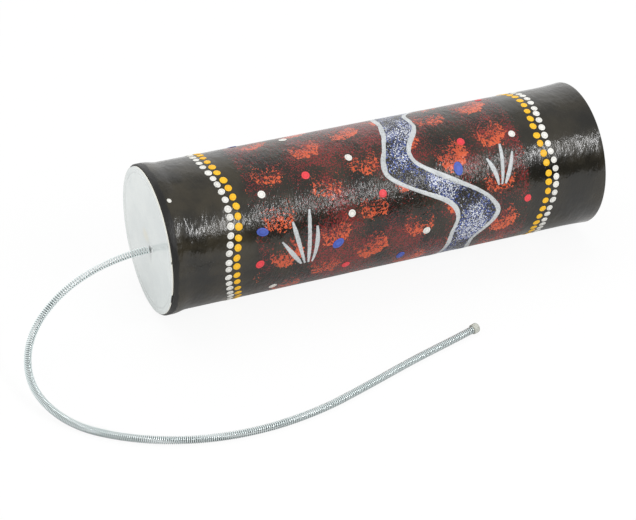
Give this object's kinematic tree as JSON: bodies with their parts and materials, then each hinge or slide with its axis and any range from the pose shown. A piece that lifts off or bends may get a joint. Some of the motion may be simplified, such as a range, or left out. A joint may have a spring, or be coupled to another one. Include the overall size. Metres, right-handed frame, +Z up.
{
  "type": "thunder tube",
  "caption": "Hand-held thunder drum: a painted card tube, open at one end, with a film over the other and a long coil spring that swings from the film to make it rumble.",
  "frame": {"origin": "under the middle of the tube, on the table that the tube lies on", "axes": "+X along the tube from the film to the open end, +Z up, so the spring lies on the -Y side"},
  "size_m": [0.2669, 0.1374, 0.0646],
  "materials": {
    "card": "bare wound card",
    "painted_paper": "black paint under gloss varnish, with painted dots",
    "glue": "set adhesive",
    "film": "milky plastic film",
    "bead": "grey moulded bead",
    "spring_wire": "zinc-plated steel wire",
    "cap": "grey moulded cap"
  },
  "bodies": {
    "tube": {"tube_core": "card", "rim_hoop": "card", "outer_wrap": "painted_paper", "glue_ring": "glue", "membrane": "film"},
    "bead": {"anchor_bead": "bead"},
    "spring": {"spring": "spring_wire", "tip_cap": "cap"}
  },
  "joints": [
    {"name": "spring_swing", "type": "hinge", "parent": "tube", "child": "bead", "pos_m": [-0.09885, -0.0038, 0.0301], "axis": [0, 0, 1], "range_deg": [-20, 20]},
    {"name": "spring_lift", "type": "hinge", "parent": "bead", "child": "spring", "pos_m": [-0.09885, -0.0038, 0.0301], "axis": [-0.8566, 0.516, 0], "range_deg": [0, 40]}
  ]
}
